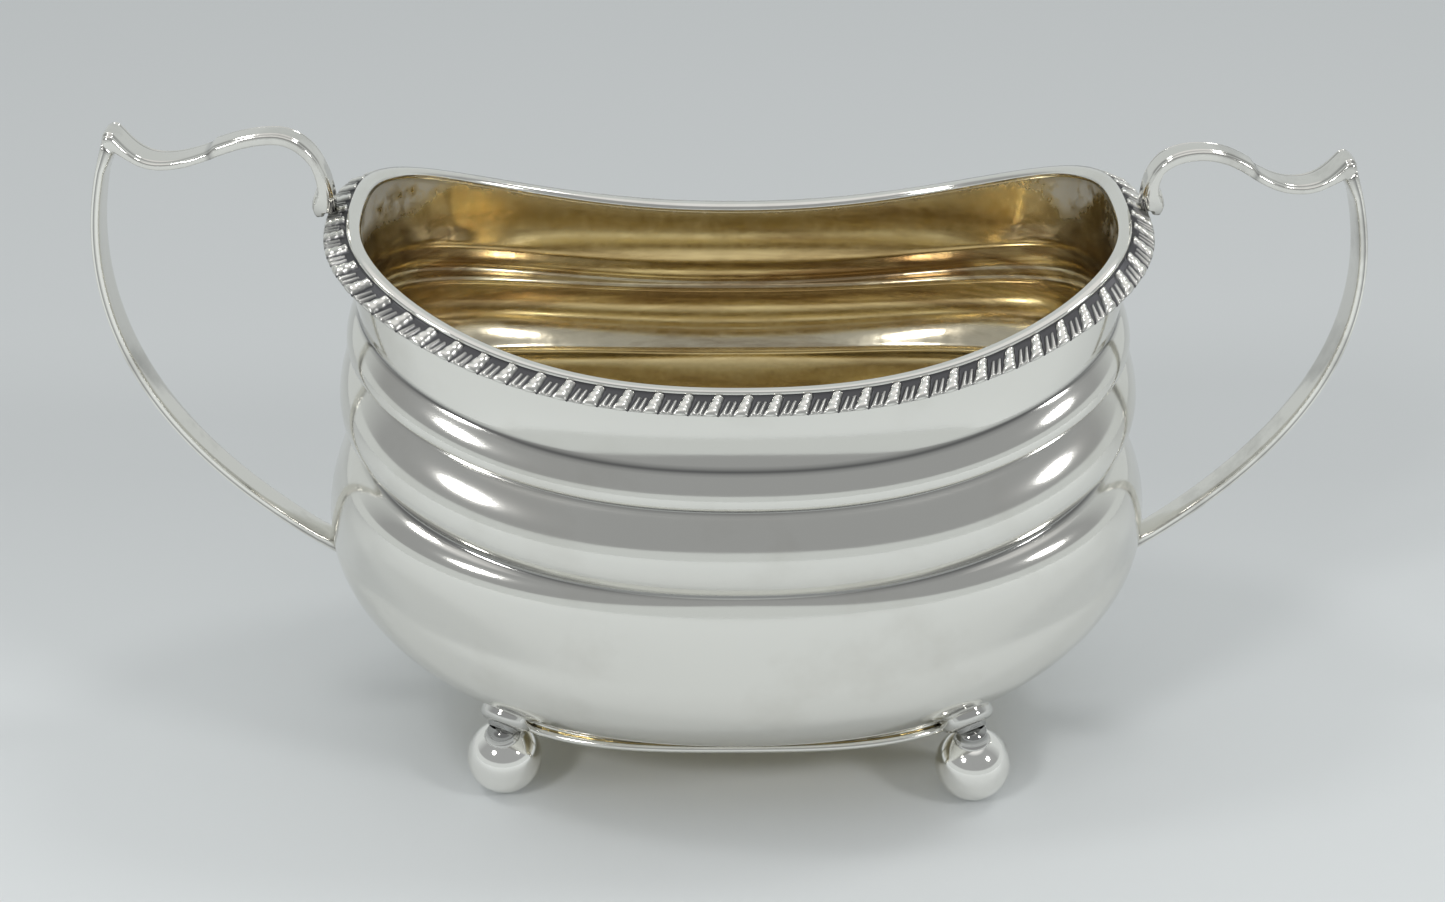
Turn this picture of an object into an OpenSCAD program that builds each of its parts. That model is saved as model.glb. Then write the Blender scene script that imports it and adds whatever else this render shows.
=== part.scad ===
// Oblong silver sugar bowl with two angular handles on four ball feet.
// Millimetres, +Z up. The origin is on the table, midway between the feet.
// +X runs through the handles and -Y is the front. Heights are those at the
// middle of the long sides: every level of the body climbs towards the ends.

/* [Bowl] */
// Length of the mouth over the plain lip
mouth_length = 119.4; // [112:0.2:124]
// Width of the mouth over the plain lip
mouth_width = 68.8; // [64:0.2:74]
// Height of the lip at the middle of the long sides
mouth_height = 79.4; // [77:0.2:84]
// How much higher the lip stands at the handles
mouth_rise = 15; // [8:0.5:18]
// Length of the body at its fullest
belly_length = 133.6; // [130:0.2:138]
// Width of the body at its fullest
belly_width = 85.4; // [83:0.2:90]
// Height of the fullest part
belly_height = 32.4; // [30:0.2:34]
// Length of the base edge
base_length = 87; // [84:0.2:90]
// Width of the base edge
base_width = 59; // [57:0.2:62]
// Height of the base edge above the table
base_height = 12.7; // [12.2:0.1:13]
// Thickness of the silver sheet
wall = 0.6; // [0.5:0.1:1]

/* [Ribs] */
// Height of the crease under the neck
crease_height = 67.3; // [66:0.1:69]
// Length of the body at that crease
crease_length = 118; // [114:0.2:121]
// Width of the body at that crease
crease_width = 73.2; // [71:0.2:75]
// Height of the groove between the two ribs
upper_groove_height = 61.3; // [60:0.1:63]
// Length of the body in that groove
upper_groove_length = 120; // [117:0.2:122]
// Width of the body in that groove
upper_groove_width = 75.4; // [73:0.2:78]
// Height of the groove above the belly
lower_groove_height = 47.9; // [46:0.1:49]
// Length of the body in that groove
lower_groove_length = 119.8; // [117:0.2:122]
// Width of the body in that groove
lower_groove_width = 80.2; // [78:0.2:82]
// Swell of the rib under the neck
upper_rib_swell = 1.5; // [1:0.1:2]
// Swell of the rib above the belly
lower_rib_swell = 3; // [2:0.1:3.6]

/* [Border] */
// Width of the plain lip
lip_width = 1.5; // [1.2:0.1:2]
// Height of the lip band
lip_depth = 1.4; // [1:0.1:1.8]
// Width of the gadroon border
border_width = 3.7; // [3:0.1:4.2]
// Depth of the border where it meets the body
border_depth = 2.4; // [2.2:0.1:3]
// Number of lobes round the border
lobe_count = 76; // [60:4:92]
// Lean of the lobes, in lobe widths from the inner to the outer edge
lobe_lean = 0.5; // [0:0.1:0.8]

/* [Handles] */
// Length of the bowl over both handles
span = 197.6; // [194:0.2:201]
// Height of the pointed ear
ear_height = 104.6; // [103:0.2:107]
// Lift of the left ear from that height, as it was set by hand
left_lift = 2.4; // [-3:0.1:3]
// Lift of the right ear from that height
right_lift = -2.4; // [-3:0.1:3]
// Thickness of the outer strap
strap_thick = 1.7; // [1.4:0.1:2.2]
// Thickness of the upper arm
arm_thick = 1.3; // [1.1:0.1:1.8]
// Width of the strap at the ear
ear_width = 6.6; // [5.5:0.1:7.5]
// Width of the strap where it meets the belly
strap_end_width = 5; // [4:0.1:6]

/* [Feet] */
// Diameter of the ball feet
ball_d = 12.2; // [11.6:0.1:12.6]
// Distance from the middle to the ball centres along the bowl
foot_x = 38.2; // [37:0.1:40]
// Distance from the middle to the ball centres across the bowl
foot_y = 25.8; // [25:0.1:27]
// How far the front left foot is pushed in, as it was set by hand
foot_push = 2.6; // [0:0.1:3]
// Diameter of the worn flat under each ball
worn_flat_d = 2.6; // [1:0.1:4]
// Diameter of the rounded collar above each ball
collar_d = 8.8; // [8:0.1:10]
// Diameter of the neck between ball and collar
neck_d = 3.4; // [2.8:0.1:4]

/* [Hidden] */
$fn = 64;
silver = "gainsboro";
dark_silver = "darkgray";

// Plan of a level: an oval whose corners stand out by a share
base_corner = 0.113;
belly_corner = 0.004;
groove_corner = 0.062;
crease_corner = 0.078;
mouth_corner = 0.106;
// How much further the corners of the ribs and of the shoulder swell
rib_corner = 0.02;
shoulder_corner = 0.045;
// Shape of the climb towards the ends
climb_power = 2.25;
climb_share = 0.75;

// Turn of the arcs below and above the fullest part, and how soon the corners change along them
belly_turn = 56;
shoulder_turn = 75;
belly_ease = 0.3;
shoulder_ease = 1.2;

// One flat side for each lobe, spaced evenly along the mouth, with a side across each end
sides = lobe_count;
fine = 720;

function squared(angle, corner) = 1 + corner * pow(sin(2 * angle), 2);
function plan(half_l, half_w, corner, angle) =
    [half_l * cos(angle), half_w * sin(angle)] * squared(angle, corner);
function climb(z) = z <= base_height ? 0 :
    mouth_rise * pow((z - base_height) / (mouth_height - base_height), climb_share);
function share_along(angle, corner) = abs(cos(angle)) * squared(angle, corner);
// A level is [half length, half width, height, corner]
function level_point(level, angle) =
    let (p = plan(level[0], level[1], level[3], angle))
    [p.x, p.y, level[2] + climb(level[2]) * pow(share_along(angle, level[3]), climb_power)];

mouth_plan = [mouth_length / 2, mouth_width / 2, mouth_height, mouth_corner];
mouth_fine = [for (i = [0:fine + 1]) level_point(mouth_plan, 360 * i / fine)];
mouth_run = [for (i = 0, s = 0; i <= fine; s = s + norm(mouth_fine[i + 1] - mouth_fine[i]), i = i + 1)
    [s, 360 * i / fine]];
mouth_round = mouth_run[fine][0];
angles = [for (i = [0:sides - 1]) lookup(mouth_round * (i + 0.5) / sides, mouth_run)];

// Outer levels of the body, from the base edge up to the lip band
function mix(a, b, t) = a * (1 - t) + b * t;
function swell(t) = 4 * t * (1 - t);
function low_swell(t) = 2.6 * sqrt(t) * (1 - t);
function high_swell(t) = 5.4 * pow(t, 1.5) * (1 - t);
base_level = [base_length / 2, base_width / 2, base_height, base_corner];
belly_level = [belly_length / 2, belly_width / 2, belly_height, belly_corner];
lower_groove = [lower_groove_length / 2, lower_groove_width / 2, lower_groove_height, groove_corner];
upper_groove = [upper_groove_length / 2, upper_groove_width / 2, upper_groove_height, groove_corner];
crease = [crease_length / 2, crease_width / 2, crease_height, crease_corner];
neck_top = [mouth_length / 2, mouth_width / 2, mouth_height - border_depth, mouth_corner];
lip_foot = [mouth_length / 2, mouth_width / 2, mouth_height - lip_depth, mouth_corner];
neck_flare = 3;

// An arc from one level to another that is upright where it meets the fuller one
function arc_level(slim, full, turn, ease, t) =
    let (out = (cos(turn * (1 - t)) - cos(turn)) / (1 - cos(turn)))
    let (up = 1 - sin(turn * (1 - t)) / sin(turn))
    [mix(slim[0], full[0], out), mix(slim[1], full[1], out), mix(slim[2], full[2], up),
        mix(slim[3], full[3], pow(t, ease))];
// The neck spreads to the crease in a hollow curve
function neck_level(t) =
    let (level = mix(neck_top, crease, pow(1 - t, neck_flare)))
    [level[0], level[1], mix(crease[2], neck_top[2], t), level[3]];
lower_steps = 8;
upper_steps = 5;
rib_steps = 5;
neck_steps = 4;
function lower_level(t) = arc_level(base_level, belly_level, belly_turn, belly_ease, t);
function shoulder_level(t) =
    arc_level(lower_groove, belly_level, shoulder_turn, shoulder_ease, 1 - t)
    + [0, 0, 0, shoulder_corner] * high_swell(t);
function lower_rib(t) =
    mix(lower_groove, upper_groove, t) + [lower_rib_swell, lower_rib_swell, 0, rib_corner] * swell(t);
function upper_rib(t) =
    mix(upper_groove, crease, t) + [upper_rib_swell, upper_rib_swell, 0, rib_corner] * low_swell(t);
outer_levels = [
    for (i = [0:lower_steps - 1]) lower_level(i / lower_steps),
    for (i = [0:upper_steps - 1]) shoulder_level(i / upper_steps),
    for (i = [0:rib_steps - 1]) lower_rib(i / rib_steps),
    for (i = [0:rib_steps - 1]) upper_rib(i / rib_steps),
    for (i = [0:neck_steps - 1]) neck_level(i / neck_steps),
    neck_top,
    lip_foot];

// The inner wall follows the outer one at the thickness of the sheet
last = len(outer_levels) - 1;
function wall_normal(i) =
    let (d = outer_levels[min(i + 1, last)] - outer_levels[max(i - 1, 0)])
    let (n = [d[2], -(d[0] + d[1]) / 2])
    n / norm(n);
function inner_level(i) =
    let (n = i == 0 || i >= last - 1 ? [1, 0] : wall_normal(i))
    outer_levels[i] - wall * [n.x, n.x, n.y, 0];
inner_levels = [for (i = [last:-1:0]) inner_level(i)];

// A closed ring of equal sections, each a closed loop of points
module ring_solid(sections) {
    count = len(sections);
    loop = len(sections[0]);
    points = [for (s = sections, p = s) p];
    faces = [for (i = [0:count - 1], j = [0:loop - 1], k = [0:1])
        let (a = i * loop + j, b = i * loop + (j + 1) % loop)
        let (c = (i + 1) % count * loop + (j + 1) % loop, d = (i + 1) % count * loop + j)
        k == 0 ? [a, b, c] : [a, c, d]];
    polyhedron(points, faces, convexity = 8);
}

// The body, raised from one sheet: belly, two ribs and hollow neck, open at both ends
module body_shell() {
    color(silver) ring_solid([for (angle = angles)
        [for (level = concat(outer_levels, inner_levels)) level_point(level, angle)]]);
}

// The flat bottom, let into the foot of the body
plate_thick = 0.6;
module base_outline(grow) {
    polygon([for (angle = angles)
        plan(base_length / 2 + grow, base_width / 2 + grow, base_corner, angle)]);
}
module base_plate() {
    color(silver) translate([0, 0, base_height - plate_thick])
        linear_extrude(plate_thick) base_outline(0);
}

// The plain wire round the bottom
wire_thick = 1.1;
wire_height = 1;
module foot_wire() {
    color(silver) translate([0, 0, base_height - wire_height]) linear_extrude(wire_height) difference() {
        base_outline(wire_thick);
        base_outline(0);
    }
}

// The plain lip, a flat band on the edge of the body
lip_inner = [mouth_length / 2 - lip_width, mouth_width / 2 - lip_width, mouth_height, mouth_corner];
module lip_band() {
    color(silver) ring_solid([for (angle = angles) [
        level_point(lip_foot, angle),
        level_point(mouth_plan, angle),
        level_point(lip_inner, angle),
        level_point(lip_inner - [0, 0, lip_depth, 0], angle)]]);
}

// The gadroon border: leaning lobes with a slim tongue in the hollow between them
lobe_steps = 6;
lobe_rise = 0.8;
lobe_heights = [1, 0.7, 0, 0.4, 0, 0.7];
border_drop = 1.2;
function lobe_at(phase) =
    let (u = (phase - floor(phase)) * lobe_steps)
    mix(lobe_heights[floor(u) % lobe_steps], lobe_heights[(floor(u) + 1) % lobe_steps], u - floor(u));
function side_point(level, u) =
    mix(level_point(level, angles[floor(u) % sides]), level_point(level, angles[(floor(u) + 1) % sides]),
        u - floor(u));
function outward(u) =
    let (d = side_point(mouth_plan, u + 0.5) - side_point(mouth_plan, u - 0.5 + sides))
    [d.y, -d.x, 0] / norm([d.x, d.y]);
// A point of the border, at a share of its width and a height above its upper edge
function border_point(u, across, z) =
    side_point(mouth_plan, u) + outward(u) * across * border_width + [0, 0, z];
function lobe_point(u, across) =
    let (low = lobe_rise * (1 - lobe_at(u + lobe_lean * across)))
    border_point(u, across, -border_drop * across * across - low);
border_edge = 0.3;
module gadroon_border() {
    color(dark_silver) ring_solid([for (i = [0:sides * lobe_steps - 1]) let (u = i / lobe_steps) [
        border_point(u, 0, -border_depth),
        border_point(u, 0, -border_edge),
        lobe_point(u, 0.35),
        lobe_point(u, 0.75),
        border_point(u, 1 - 0.12 * (1 - lobe_at(u + lobe_lean)), -border_drop - border_edge),
        border_point(u, 0.85, -border_depth)]]);
}

// Handles: outlines in the plane of the bowl's length, then trimmed to width
curve_steps = 10;
ear_steps = 5;
function bend(p, t) =
    pow(1 - t, 3) * p[0] + 3 * t * pow(1 - t, 2) * p[1] + 3 * t * t * (1 - t) * p[2] + t * t * t * p[3];
function bend_way(p, t) =
    let (d = pow(1 - t, 2) * (p[1] - p[0]) + 2 * t * (1 - t) * (p[2] - p[1]) + t * t * (p[3] - p[2]))
    d / norm(d);
function left_of(d) = [-d.y, d.x];
function run(p, shift = 0) = [for (i = [0:curve_steps])
    let (t = i / curve_steps)
    bend(p, t) + shift * left_of(bend_way(p, t))];
function flipped(list) = [for (i = [len(list) - 1:-1:0]) list[i]];

// Where the handle's own points lie: a lifted ear also stands out a little further
reach_share = 0.38;
function reach(lift) = span / 2 + reach_share * lift;
function ear(lift) = [reach(lift) - 4.5, ear_height + lift];
function ear_root(lift) = ear(lift) + [-1, -3.5];
function dip(lift) = [reach(lift) - 12.2, ear_height - 4.7 + 0.9 * lift];
function arch(lift) = [span / 2 - 28.3, ear_height - 0.4 + 0.6 * lift];
// The strap ends flat on the body, on the side across the end between two of its levels
function end_profile(i) = let (p = level_point(outer_levels[i], angles[0])) [p.x, p.z];
strap_seat = end_profile(lower_steps - 2);
strap_seat_top = end_profile(lower_steps - 1);
function strap_line(lift) =
    [ear(lift), ear(lift) + [8.2, -19.1], [reach(lift) + 5.2, 57.5], strap_seat];
// The arm stands on the border and ends in a small toe outside it
border_end = mouth_length / 2 + border_width;
root_x = border_end - 1.5;
root_z = mouth_height + mouth_rise - 0.4;
toe_x = border_end + 1.5;
toe_z = root_z - 1.2;
toe_gap = 0.05;
leaf_step = 0.5;
function ear_curve(lift) = [ear(lift), ear(lift) + [-1.8, -3.6], dip(lift) + [3.5, 0], dip(lift)];
function dip_curve(lift) = [dip(lift), dip(lift) - [5.8, 0], arch(lift) + [7.2, 0], arch(lift)];
function arch_curve(lift) =
    [arch(lift), arch(lift) - [5.2, 0], [root_x + 0.3, root_z + 6.8], [root_x, root_z + 2]];

module upper_arm_outline(lift) {
    tail = run(dip_curve(lift));
    leaf = floor(curve_steps / 2);
    under = run(arch_curve(lift), arm_thick);
    under_ear = run(ear_curve(lift), arm_thick);
    polygon(concat(
        run(ear_curve(lift)),
        [for (i = [1:leaf]) tail[i]],
        [for (i = [leaf:curve_steps]) tail[i] + [0, leaf_step]],
        [for (p = run(arch_curve(lift))) p + [0, leaf_step]],
        [[root_x, root_z], [border_end + toe_gap, root_z], [border_end + toe_gap, toe_z],
            [toe_x, toe_z], [toe_x + 0.4, toe_z + 1.2], [toe_x - 0.4, toe_z + 3.8]],
        [for (i = [curve_steps - 2:-1:0]) under[i]],
        flipped(run(dip_curve(lift), arm_thick)),
        [for (i = [curve_steps - 1:-1:ear_steps]) under_ear[i]],
        [ear_root(lift)]));
}
module strap_outline(lift) {
    inner = run(strap_line(lift), -strap_thick);
    polygon(concat(
        run(strap_line(lift)),
        [strap_seat_top],
        [for (i = [curve_steps - 1:-1:1]) inner[i]],
        [ear_root(lift)]));
}

deep = 40;
tall = 200;
arm_waist = 4.4;
arm_end_width = 5;
module upper_arm(lift) {
    color(silver) intersection() {
        rotate([90, 0, 0]) linear_extrude(deep, center = true) upper_arm_outline(lift);
        linear_extrude(tall) polygon([
            [span, -ear_width / 2], [ear(lift).x, -ear_width / 2], [arch(lift).x, -arm_waist / 2],
            [root_x, -arm_end_width / 2], [root_x - 1, -arm_end_width / 2],
            [root_x - 1, arm_end_width / 2], [root_x, arm_end_width / 2],
            [arch(lift).x, arm_waist / 2], [ear(lift).x, ear_width / 2], [span, ear_width / 2]]);
    }
}
module strap(lift) {
    color(silver) intersection() {
        rotate([90, 0, 0]) linear_extrude(deep, center = true) strap_outline(lift);
        rotate([90, 0, 90]) linear_extrude(tall) polygon([
            [-ear_width / 2, ear_height + deep], [-ear_width / 2, ear_height],
            [-strap_end_width / 2, strap_seat.y], [-strap_end_width / 2, 0],
            [strap_end_width / 2, 0], [strap_end_width / 2, strap_seat.y],
            [ear_width / 2, ear_height], [ear_width / 2, ear_height + deep]]);
    }
}
module left_upper_arm() { mirror([1, 0, 0]) upper_arm(left_lift); }
module left_strap() { mirror([1, 0, 0]) strap(left_lift); }
module right_upper_arm() { upper_arm(right_lift); }
module right_strap() { strap(right_lift); }

// Feet: a ball with a short neck that leans in to a rounded collar under the belly
ball_r = ball_d / 2;
ball_z = sqrt(ball_r * ball_r - worn_flat_d * worn_flat_d / 4);
// A foot is [distance of its ball across the bowl, place of its collar up the belly and round it]
plain_foot = [foot_y, 0.15, 45.5];
pushed_foot = [foot_y - foot_push, 0.1, 42.5];
function ball_centre(foot) = [foot_x, foot[0], ball_z];
collar_tip = 46;
collar_turn = 59;
collar_axis = [sin(collar_tip) * cos(collar_turn), sin(collar_tip) * sin(collar_turn), -cos(collar_tip)];
collar_r = collar_d / 2;
collar_depth = 3.2;
collar_root = 4;
collar_edge = 0.8;
collar_dome = 1.1;
collar_crown = 0.6;
collar_lap = 0.2;
function collar_centre(foot) = level_point(lower_level(foot[1]), foot[2]);
function collar_end(foot) = collar_centre(foot) + collar_depth * collar_axis;
// Turn +Z to a direction
module aim(d) {
    rotate([0, acos(d.z / norm(d)), atan2(d.y, d.x)]) children();
}
// Put the corner at +X +Y into one of the four corners
module foot_place(sx, sy) {
    mirror([sx < 0 ? 1 : 0, 0, 0]) mirror([0, sy < 0 ? 1 : 0, 0]) children();
}
// The belly below its fullest part as a thick ring, to which the collars are trimmed
module belly_ring() {
    ring_solid([for (angle = angles) [
        for (i = [0:lower_steps]) level_point(outer_levels[i], angle),
        level_point([belly_length / 4, belly_width / 4, belly_height, belly_corner], angle),
        level_point([base_length / 4, base_width / 4, base_height, base_corner], angle)]]);
}
// The collar is rounded over to its neck, and its root lies within the belly until it is trimmed
module collar_body(foot) {
    translate(collar_centre(foot)) aim(collar_axis) rotate_extrude() polygon([
        [0, -collar_root], [collar_r, -collar_root],
        for (a = [0:22.5:90])
            [mix(collar_crown, 1, cos(a)) * collar_r, collar_edge + collar_dome * sin(a)],
        [neck_d / 2 + collar_lap, collar_depth], [0, collar_depth]]);
}
module foot_neck(foot) {
    reach = collar_end(foot) - ball_centre(foot);
    difference() {
        translate(ball_centre(foot)) aim(reach) cylinder(h = norm(reach), d = neck_d);
        collar_body(foot);
    }
}
module foot_ball(sx, sy, foot) {
    color(silver) foot_place(sx, sy) {
        difference() {
            translate(ball_centre(foot)) sphere(d = ball_d);
            translate([foot_x - ball_d, foot[0] - ball_d, -ball_d]) cube([2 * ball_d, 2 * ball_d, ball_d]);
        }
        foot_neck(foot);
    }
}
module foot_collar(sx, sy, foot) {
    color(silver) foot_place(sx, sy) difference() {
        collar_body(foot);
        belly_ring();
        linear_extrude(base_height) base_outline(wire_thick);
    }
}

body_shell();
base_plate();
foot_wire();
lip_band();
gadroon_border();
left_upper_arm();
left_strap();
right_upper_arm();
right_strap();
foot_ball(-1, -1, pushed_foot);  // front_left_ball
foot_ball(1, -1, plain_foot);  // front_right_ball
foot_ball(-1, 1, plain_foot);  // back_left_ball
foot_ball(1, 1, plain_foot);  // back_right_ball
foot_collar(-1, -1, pushed_foot);  // front_left_collar
foot_collar(1, -1, plain_foot);  // front_right_collar
foot_collar(-1, 1, plain_foot);  // back_left_collar
foot_collar(1, 1, plain_foot);  // back_right_collar
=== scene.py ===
import math

import bmesh
import bpy
import numpy as np
from mathutils import Matrix, Vector
from mathutils.bvhtree import BVHTree


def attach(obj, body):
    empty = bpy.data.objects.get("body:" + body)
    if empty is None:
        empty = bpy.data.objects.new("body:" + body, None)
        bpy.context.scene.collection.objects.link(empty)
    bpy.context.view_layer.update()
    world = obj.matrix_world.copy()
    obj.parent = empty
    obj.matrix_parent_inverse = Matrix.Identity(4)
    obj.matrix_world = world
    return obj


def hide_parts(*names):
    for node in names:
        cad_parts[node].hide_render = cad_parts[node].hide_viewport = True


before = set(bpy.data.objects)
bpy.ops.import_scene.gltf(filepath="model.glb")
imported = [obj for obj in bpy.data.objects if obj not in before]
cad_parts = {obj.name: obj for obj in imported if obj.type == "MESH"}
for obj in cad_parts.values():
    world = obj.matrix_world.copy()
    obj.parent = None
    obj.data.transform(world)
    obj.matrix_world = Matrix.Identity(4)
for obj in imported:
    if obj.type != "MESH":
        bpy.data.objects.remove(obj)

bl_info = {
    "name": "Silver sugar bowl",
    "version": (1, 0, 0),
    "blender": (4, 5, 0),
    "location": "View3D > Sidebar > Sugar Bowl",
    "description": "Builds the looks of an oblong silver sugar bowl round its packed solids",
    "category": "Object",
}

# Steps of the meshes
AROUND_STEPS = 1440  # fine steps that measure the way round the mouth
PROFILE_STEPS = 40  # steps up each part of the body's profile
LEVEL_STEP = 0.0004  # distance between two levels of the body's mesh
PATH_STEPS = 8  # steps of the border's path for each lobe
ARM_STEPS = (16, 20, 16)  # steps from ear to dip, to arch, to root
STRAP_STEPS = 48  # steps from the ear to the belly
SECTION_POINTS = 72  # points round the section of a handle
FOOT_STEPS = 64  # steps round a foot
BALL_RINGS = 40
WIRE_POINTS = 16  # points round the base wire
FLOOR_STEPS = 96

# Shape of the body
BELLY_EASE = 0.3  # how soon the corners of the base die out up the belly
SHOULDER_EASE = 1.2  # how late they come back over the shoulder
CORNER_ANGLE = 0.761  # angle of the upright creases inside the neck
CREASE_SPREAD = 0.07  # angle over which these creases die out
CREASE_START = 0.003  # height over which they begin
LIP_BEVEL = 0.0002
LIP_STEPS = 10  # points of the lip's rounded inner edge
# painted shade: share by which the outside is darkened in the grooves and at the crease
GROOVE_SHADE = 0.8

# Shape of one unit of the border, in shares of its pitch and width
BEADS = 3  # beads along a lobe
BEAD_WAIST, BEAD_DEPTH = 0.08, 0.14
LOBE_AT = 0.25
LOBE_HALF = (0.17, 0.28)  # half width of a lobe at the lip and at the outer edge
LOBE_START, LOBE_ROUND = 0.04, 0.1
TONGUES_AT = (0.66, 0.88)
TONGUE_START = 0.28
TONGUE_HALF, TONGUE_SPREAD = 0.07, 0.04
TONGUE_HEIGHT, TONGUE_RISE = 0.45, 0.25
JOIN_AT = 0.77  # broad end that joins the two tongues
JOIN_START = 0.72
JOIN_HALF, JOIN_HEIGHT = 0.21, 0.68
EDGE_START = 0.86
EDGE_ROUND = 0.0003  # fall of the rounded outer edge
EDGE_DEPTH = 0.0006  # depth of the border's face under that edge
INNER_STEP = 0.0005  # drop from the lip to the border
WELD = 0.00002  # distance at which neighbouring units are joined

# Shape, tarnish and painted shade of the handles
EAR_TURN = (-10, 140, 15)  # degrees round the tip of the ear: first, end and step
EAR_CENTRE = (-0.0003, -0.0013)
EAR_RADIUS = 0.0011
EAR_STEPS = 9  # steps of the arm that thicken to the ear
STRAP_EAR_STEPS = 4  # steps of the strap that thicken to the ear
STEP_AT = 25  # step of the arm where its small step stands
TOE_STEPS = 8  # steps of the arm that spread to its toe
SEAT = (0.74, 0.86)  # lower and upper edge of the strap's seat, as shares up the lower belly
HOLLOW_AT = 0.7  # place of the fine hollow across a handle, in half widths
HOLLOW_SPREAD = 0.07
HOLLOW_DEPTH = 0.3
# painted shade: darkens the fine hollow along both edges of a handle's outer face
HOLLOW_SHADE = 0.7
ARM_TARNISH = 0.2
STRAP_TARNISH = 0.18
EDGE_LINE = (0, SECTION_POINTS // 2 - 1)  # section points of the dark line along the edges
# dark line drawn along the middle of each strap edge
EDGE_LINE_DARKNESS = 0.75

# Shape, tarnish and painted shade of the feet
COLLAR_CROWN = 0.6  # share of the collar's radius where its rounding ends
COLLAR_SINK = 0.0002  # how far a collar is let into the belly
SEEK_FROM = 0.004  # height in front of a collar from which the belly is sought
SEEK_REACH = 0.008
# painted shade: the collars are darkened all over, and more towards the neck
COLLAR_SHADE = 0.25
# tarnish and painted shade on the necks between collar and ball, ring by ring
NECK_TARNISH_AND_SHADE = (0.2, 0.3, 0.5, 0.65, 0.65)

# How far the gilding is rubbed, and browned by stains and painted shade, by height from base to rim
RUBBED = ((0.0, 0.15), (0.4, 0.1), (0.53, 0.5), (0.6, 0.3), (0.73, 0.12), (0.8, 0.05), (0.84, 0.3),
    (0.95, 0.1), (0.985, 0.8))
# brown stains, and painted shade in the inner hollows either side of the upper ridge
BROWN_STAIN_AND_SHADE = ((0.0, 0.05), (0.58, 0.15), (0.68, 0.8), (0.73, 0.6), (0.755, 1.0), (0.79, 0.7), (0.86, 0.15))

# Places of the lamps and their sizes
MAIN_LAMPS = (("lamp_left", (-0.471, -0.582, 0.585)), ("lamp_right", (0.653, -0.44, 0.531)))
TOP_LAMPS = (("lamp_top_left", (-0.48, -0.07, 1.0)), ("lamp_top_right", (0.48, 0.13, 0.98)))
MAIN_SIZE, TOP_SIZE = 0.17, 0.18
LAMP_TARGET = (0, 0, 0.04)

# Camera, as fitted to the outline of the bowl
CAMERA_PLACE = (-0.006845, -0.32994, 0.23799)
CAMERA_TURN, CAMERA_TILT, CAMERA_ROLL = -0.01351, 0.51784, 0.00315
SENSOR_WIDTH, LENS = 36.0, 57.93


def length(name, description, default):
    return bpy.props.FloatProperty(
        name=name, description=description, default=default, unit="LENGTH", precision=5)


def number(name, description, default):
    return bpy.props.FloatProperty(name=name, description=description, default=default)


def count(name, description, default):
    return bpy.props.IntProperty(name=name, description=description, default=default, min=1)


def turn(name, description, default):
    return bpy.props.FloatProperty(
        name=name, description=description, default=math.radians(default), subtype="ANGLE")


def colour(name, description, default):
    return bpy.props.FloatVectorProperty(
        name=name, description=description, default=default, size=3, subtype="COLOR", min=0, max=1)


class BowlShape(bpy.types.PropertyGroup):
    """Sizes of the body's levels and the forms between them."""
    mouth_length: length("Mouth length", "Length of the mouth over the plain lip", 0.1194)
    mouth_width: length("Mouth width", "Width of the mouth over the plain lip", 0.0688)
    mouth_height: length("Mouth height", "Height of the lip at the middle of the long sides", 0.0794)
    mouth_rise: length("Mouth rise", "How much higher the lip stands at the handles", 0.015)
    belly_length: length("Belly length", "Length of the body at its fullest", 0.1334)
    belly_width: length("Belly width", "Width of the body at its fullest", 0.0853)
    belly_height: length("Belly height", "Height of the fullest part", 0.0324)
    base_length: length("Base length", "Length of the base edge", 0.087)
    base_width: length("Base width", "Width of the base edge", 0.059)
    base_height: length("Base height", "Height of the base edge above the table", 0.0127)
    crease_length: length("Crease length", "Length of the body at the crease under the neck", 0.118)
    crease_width: length("Crease width", "Width of the body at that crease", 0.0732)
    crease_height: length("Crease height", "Height of that crease", 0.0673)
    upper_groove_length: length("Upper groove length", "Length in the groove between the ribs", 0.12)
    upper_groove_width: length("Upper groove width", "Width in the groove between the ribs", 0.0754)
    upper_groove_height: length("Upper groove height", "Height of the groove between the ribs", 0.0613)
    lower_groove_length: length("Lower groove length", "Length in the groove above the belly", 0.1198)
    lower_groove_width: length("Lower groove width", "Width in the groove above the belly", 0.0802)
    lower_groove_height: length("Lower groove height", "Height of the groove above the belly", 0.0479)
    upper_swell: length("Upper rib swell", "How far the rib under the neck stands out", 0.0015)
    lower_swell: length("Lower rib swell", "How far the rib above the belly stands out", 0.003)
    neck_flare: number("Neck flare", "How late the neck spreads to the crease", 3.0)
    rib_corner: number("Rib corners", "Share by which the ribs swell more at the corners", 0.02)
    shoulder_corner: number("Shoulder corners", "Share by which its corners swell", 0.045)
    wall: length("Wall", "Thickness of the silver sheet", 0.0006)
    climb_share: number("Climb share", "How soon the climb to the ends grows with height", 0.75)
    climb_power: number("Climb power", "How late along the side the climb starts", 2.25)
    base_corner: number("Base corners", "Share by which the corners of the base stand out", 0.113)
    belly_corner: number("Belly corners", "Share by which the corners of the belly stand out", 0.004)
    groove_corner: number("Groove corners", "Share by which the corners of the grooves stand out", 0.062)
    crease_corner: number("Crease corners", "Share by which the corners of the crease stand out", 0.078)
    mouth_corner: number("Mouth corners", "Share by which the corners of the mouth stand out", 0.106)
    belly_turn: turn("Belly turn", "Turn of the arc below the fullest part", 56)
    shoulder_turn: turn("Shoulder turn", "Turn of the arc above the fullest part", 75)
    crease_round: length("Crease rounding", "Rounding of the grooves", 0.00035)
    inner_crease: length("Inner crease", "Depth of the creases inside the corners of the neck", 0.0005)
    sides: count("Sides", "Mesh steps round the body", 252)


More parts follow.
